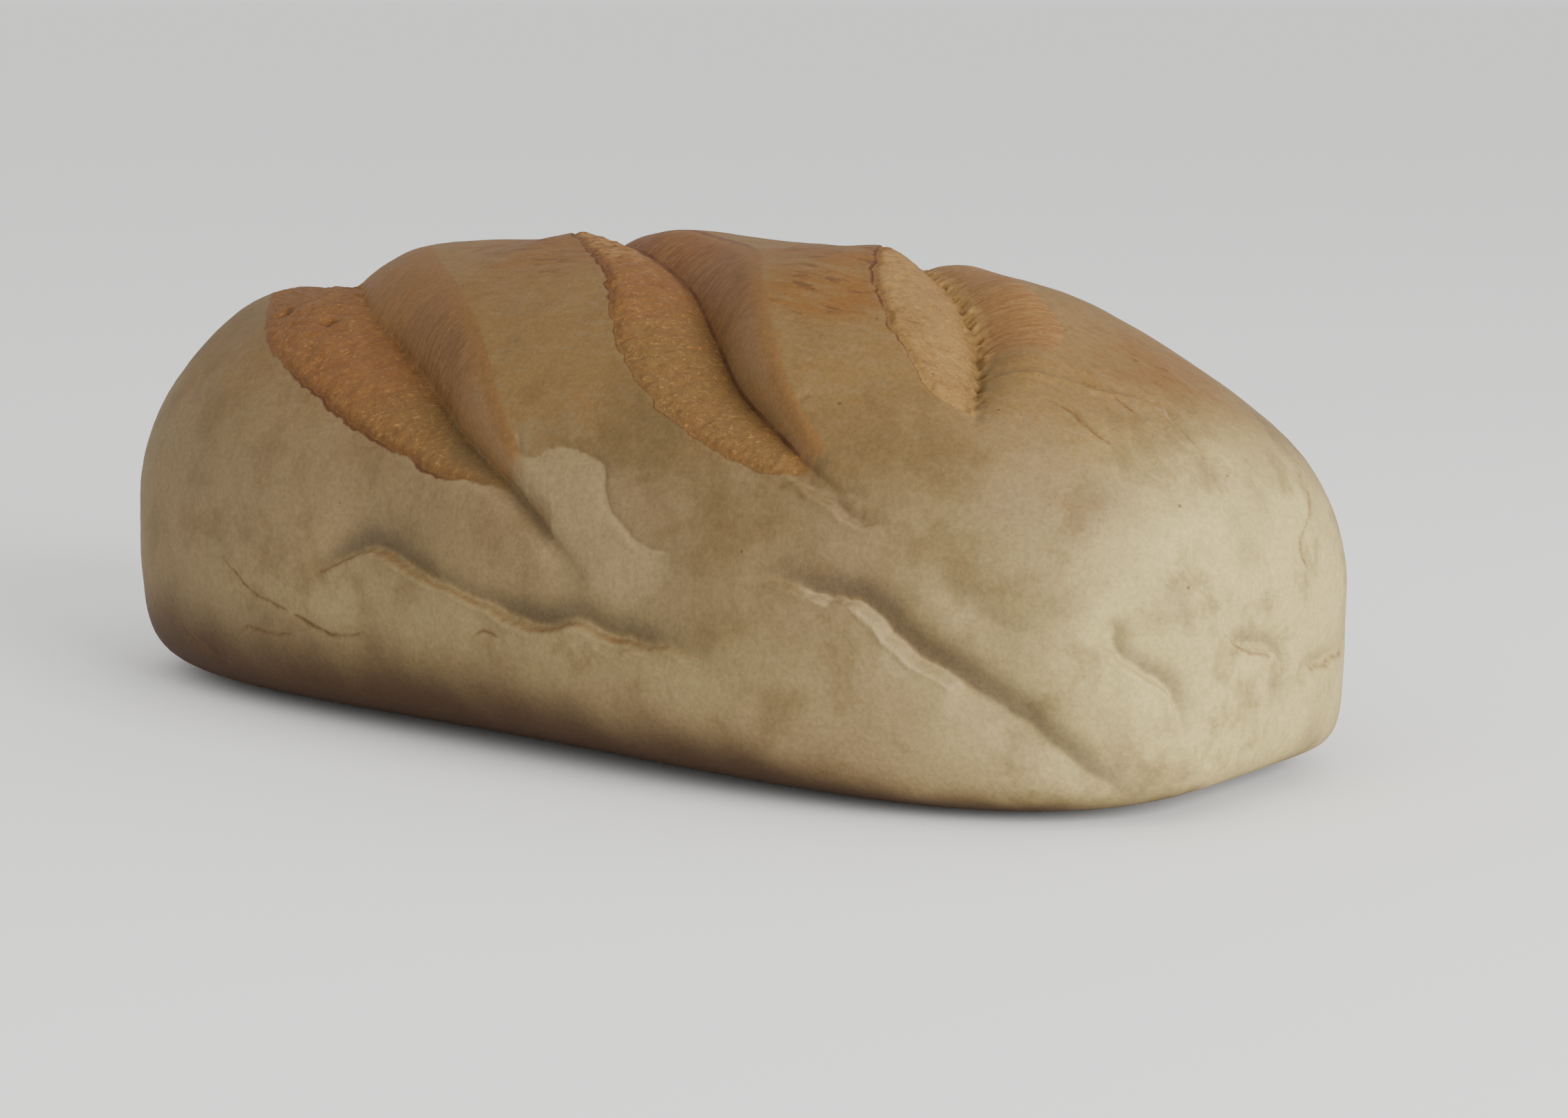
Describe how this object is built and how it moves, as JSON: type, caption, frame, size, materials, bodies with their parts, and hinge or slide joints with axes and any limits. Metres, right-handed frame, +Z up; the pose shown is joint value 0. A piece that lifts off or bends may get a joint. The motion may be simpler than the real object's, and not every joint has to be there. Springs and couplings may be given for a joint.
{
  "type": "bloomer loaf of white bread",
  "caption": "Long rounded hand-shaped white loaf with deep diagonal slashes across its top and a flat base to rest on.",
  "frame": {"origin": "middle of the loaf's footprint, on the surface it stands on", "axes": "+X along the loaf towards its fuller, paler end, +Y towards its back, +Z up; the slashes run from the back left to the front right"},
  "size_m": [0.3, 0.1516, 0.107],
  "materials": {
    "crust": null
  },
  "bodies": {
    "root": {"loaf": "crust"}
  },
  "joints": []
}
